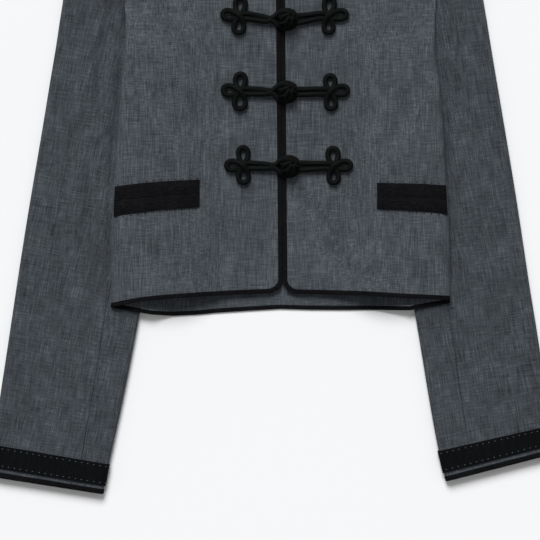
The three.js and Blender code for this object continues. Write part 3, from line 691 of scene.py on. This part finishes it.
def round_cord(mesh, line, radius, closed, upward=None, sides=20, squash=1.0):
    """Adds a cord along a line to a mesh, with how far round and how far along kept on it."""
    layer = mesh.loops.layers.uv.get("along_cord") or mesh.loops.layers.uv.new("along_cord")
    count = len(line)
    rings, lengths, run = [], [], 0
    for index, place in enumerate(line):
        before = line[index - 1] if index or closed else place
        after = line[(index + 1) % count] if index < count - 1 or closed else place
        tangent = (after - before).normalized()
        up = upward(place) if upward else Vector((0, 0, 1))
        aside = up.cross(tangent).normalized()
        lift = tangent.cross(aside).normalized()
        ring = []
        for k in range(sides):
            angle = 2 * math.pi * k / sides
            lines = math.cos(GROOVES * angle + run * 2 * math.pi / GROOVE_TWIST)
            reach = radius * (1 + GROOVE_DEPTH * (lines - 1))
            ring.append(mesh.verts.new(
                place + aside * (reach * math.cos(angle)) + lift * (reach * squash * math.sin(angle))
            ))
        rings.append(ring)
        lengths.append(run)
        run += (line[(index + 1) % count] - place).length
    for index in range(count if closed else count - 1):
        onward = (index + 1) % count
        ends = (lengths[index], lengths[onward] if onward else run)
        for k in range(sides):
            quad = (rings[index][k], rings[index][(k + 1) % sides],
                    rings[onward][(k + 1) % sides], rings[onward][k])
            face = mesh.faces.new(quad)
            face.smooth = True
            for loop, (u, v) in zip(face.loops, ((k, 0), (k + 1, 0), (k + 1, 1), (k, 1))):
                loop[layer].uv = (u / sides, ends[v])
    if not closed:
        mesh.faces.new(list(reversed(rings[0])))
        mesh.faces.new(rings[-1])


def highest(place, pieces):
    """The height of the uppermost cloth at a place."""
    top = 0
    for piece in pieces:
        hit, on_cloth, normal, index = piece.ray_cast(Vector((place.x, place.y, 1)), Vector((0, 0, -1)))
        if hit:
            top = max(top, on_cloth.z)
    return top


PETAL_START, PETAL_END, PETAL_STEP, PETAL_RAMP = 46, 310, 22, 44  # degrees round the teardrop
PETAL_BELLY = 1.3


def petal(centre, angle, long, wide, first, mirror, raised):
    """One teardrop petal from the middle of the clover and back. raised lifts its two inner ends."""
    points = []
    for degrees in range(PETAL_START, PETAL_END + 1, PETAL_STEP):
        round_it = math.radians(degrees)
        along = long / 2 * (1 - math.cos(round_it)) * MM
        across = -first * PETAL_BELLY * wide * math.sin(round_it) * math.sin(round_it / 2) * MM
        x = along * math.cos(angle) - across * math.sin(angle)
        y = along * math.sin(angle) + across * math.cos(angle)
        start = max(0, 1 - (degrees - PETAL_START) / PETAL_RAMP) * raised[0]
        end = max(0, 1 - (PETAL_END - degrees) / PETAL_RAMP) * raised[1]
        points.append(Vector((centre.x + mirror * x, centre.y + y, max(start, end) * MM)))
    return points


def beside(centre, x, y, z=0):
    """A place in millimetres from a centre, and z millimetres up."""
    return Vector((centre.x + x * MM, centre.y + y * MM, z * MM))


def clover(centre, mirror, petals):
    """The cord's way round its three petals, from the lower stem to the upper one."""
    outward, down, up = petals
    return (
        [beside(centre, -9 * mirror, -2.9), beside(centre, -3.5 * mirror, -2.7, 0.1)]
        + petal(centre, math.radians(outward[0]), outward[1], outward[2], 1, mirror, (0.2, 2.6))
        + [beside(centre, 0.4 * mirror, 0.2, 3.4)]
        + petal(centre, math.radians(down[0]), down[1], down[2], 1, mirror, (2.6, 0.8))
        + [beside(centre, 1.2 * mirror, 0.3, 1.6)]
        + petal(centre, math.radians(up[0]), up[1], up[2], -1, mirror, (0.8, 1.8))
        + [beside(centre, -2.2 * mirror, 2.6, 1.6), beside(centre, -9 * mirror, 2.9)]
    )


# For each frog: the knot and the two clovers, each clover's petals as direction, length and half width,
# and how far each button cord lies from the knot's middle.
FROGS = {
    "top": {
        "knot": (7.4, 298), "left": (-44.6, 301.4), "right": (52.4, 301.8),
        "left petals": ((7, 19, 4.9), (-83, 18.2, 5.6), (91, 20, 5.6)),
        "right petals": ((5, 20.5, 4.9), (-88, 18.2, 5.2), (85, 20, 5.6)),
        "spread": 3.9,
    },
    "middle": {
        "knot": (7.2, 218), "left": (-44.4, 218.8), "right": (54.6, 218.6),
        "left petals": ((4, 18.6, 5.4), (-88, 19.2, 6.2), (91, 19, 5.6)),
        "right petals": ((5, 19.6, 5.0), (-86, 19, 5.2), (90, 17.4, 5.4)),
        "spread": 3.0,
    },
    "bottom": {
        "knot": (9.9, 136), "left": (-40.9, 137), "right": (58.4, 136.6),
        "left petals": ((0, 18.4, 5.0), (-90, 18.6, 5.6), (89, 20, 5.3)),
        "right petals": ((3, 19, 4.8), (-90, 18.6, 5.3), (93, 19.4, 5.7)),
        "spread": 3.8,
    },
}
KNOT_RADIUS = 8.8 * MM
KNOT_HIGH = 6.4 * MM
KNOT_STRAND = 1.8 * MM
KNOT_CENTRE = 16.6 * MM
KNOT_TURNS, KNOT_LOBES, KNOT_STEPS = 3, 7, 280
KNOT_CLIMB = math.radians(74)
KNOT_WEAVE = 0.12
KNOT_LEAN, KNOT_NOD = math.radians(28), math.radians(-18)
KNOT_SIDES = 15
CORE_SHARE = 0.96
# The loop's way round the knot: across, up the jacket, and the lift off the cloth.
LOOP = (
    (-24, 2.3, 0), (-19, 1.5, 0), (-14.5, 3.0, 0), (-10, 6.6, 0), (-5, 9.2, 0), (2, 9.4, 0),
    (8, 6.2, 0), (9.6, 0, 0), (8, -6.4, 0), (2, -9.8, 0), (-5, -9.4, 0), (-10, -6.4, 0),
    (-14.5, -2.8, 0.6), (-19, -1.4, 1.3), (-24, -2.3, 0.4),
)
under_frogs = list(fronts.values()) + bindings


def lay_cord(points):
    """Each point's height is its lift above the cloth that it lies on."""
    for point in points:
        point.z += highest(point, under_frogs) + CORD + CORD_SEAT
    return points


def cord_piece(name, points, closed):
    """A length of cord laid through the points."""
    mesh = bmesh.new()
    line = curved_through(lay_cord(points), CORD_STEP, closed)
    round_cord(mesh, line, CORD, closed, squash=CORD_SQUASH)
    data = bpy.data.meshes.new(name)
    mesh.to_mesh(data)
    mesh.free()
    return data


def knot_piece(name, middle):
    """A ball woven of one cord that runs three times round, over and under itself."""
    tilt = Matrix.Rotation(KNOT_LEAN, 3, "Y") @ Matrix.Rotation(KNOT_NOD, 3, "X")
    strand = []
    for step in range(KNOT_STEPS):
        t = 2 * math.pi * KNOT_TURNS * step / KNOT_STEPS
        high = KNOT_CLIMB * math.cos(KNOT_LOBES * t / KNOT_TURNS)
        out = 1 + KNOT_WEAVE * math.sin(2 * KNOT_LOBES * t / KNOT_TURNS)
        level = math.cos(high)
        ball = tilt @ Vector((level * math.cos(t), level * math.sin(t), math.sin(high))) * out
        strand.append(middle + Vector((ball.x * KNOT_RADIUS, ball.y * KNOT_RADIUS, ball.z * KNOT_HIGH)))
    mesh = bmesh.new()
    round_cord(mesh, strand, KNOT_STRAND, True, lambda place: (place - middle).normalized(), KNOT_SIDES)
    core = Matrix.Translation(middle) @ Matrix.Diagonal((KNOT_RADIUS, KNOT_RADIUS, KNOT_HIGH, 1))
    bmesh.ops.create_icosphere(mesh, subdivisions=3, radius=CORE_SHARE, matrix=core)
    data = bpy.data.meshes.new(name)
    mesh.to_mesh(data)
    mesh.free()
    return data


for name, frog in FROGS.items():
    knot = spot(*frog["knot"])
    loop = clover(spot(*frog["left"]), -1, frog["left petals"])
    loop += [beside(knot, *point) for point in LOOP]
    spread = frog["spread"]
    button = [beside(knot, 3, -spread), beside(knot, 12, -spread)]
    button += clover(spot(*frog["right"]), 1, frog["right petals"])
    button += [beside(knot, 12, spread), beside(knot, 3, spread)]
    made = (
        (cord_piece("frog_loop_cord_" + name, loop, True), "frog_loop_"),
        (cord_piece("frog_button_cord_" + name, button, False), "frog_button_"),
        (knot_piece("knot_button_" + name, Vector((knot.x, knot.y, KNOT_CENTRE))), "knot_"),
    )
    for data, node in made:
        data.materials.append(silk)
        piece = bpy.data.objects.new(data.name, data)
        bpy.context.scene.collection.objects.link(piece)
        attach(piece, "root")
        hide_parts(node + name)


# ---- Floor, light and world ----
# A pale sheet of paper that the jacket lies on, a broad soft light from beyond the collar, and an even
# white surround that fills the shadows.
FLOOR_SIZE = 12
FLOOR_PALE = (0.915, 0.92, 0.932, 1)
LIGHT_SPREAD = math.radians(30)
LIGHT_STRENGTH = 3.2
LIGHT_WAY = (0.16, -0.74, -0.69)
SURROUND_STRENGTH = 0.33
bpy.ops.mesh.primitive_plane_add(size=FLOOR_SIZE, location=(0, 0, 0))
floor = bpy.context.object
floor.name = "floor"
floor.data.materials.append(plain("floor_paper", 0.9, 0, FLOOR_PALE))

lamp = bpy.data.lights.new("key", "SUN")
lamp.angle = LIGHT_SPREAD
lamp.energy = LIGHT_STRENGTH
key = bpy.data.objects.new("key", lamp)
key.rotation_euler = Vector(LIGHT_WAY).to_track_quat("-Z", "Y").to_euler()
bpy.context.scene.collection.objects.link(key)
world = bpy.data.worlds.new("surround")
world.use_nodes = True
world.node_tree.nodes["Background"].inputs["Color"].default_value = (1, 1, 1, 1)
world.node_tree.nodes["Background"].inputs["Strength"].default_value = SURROUND_STRENGTH
bpy.context.scene.world = world
bpy.context.scene.view_settings.view_transform = "Standard"
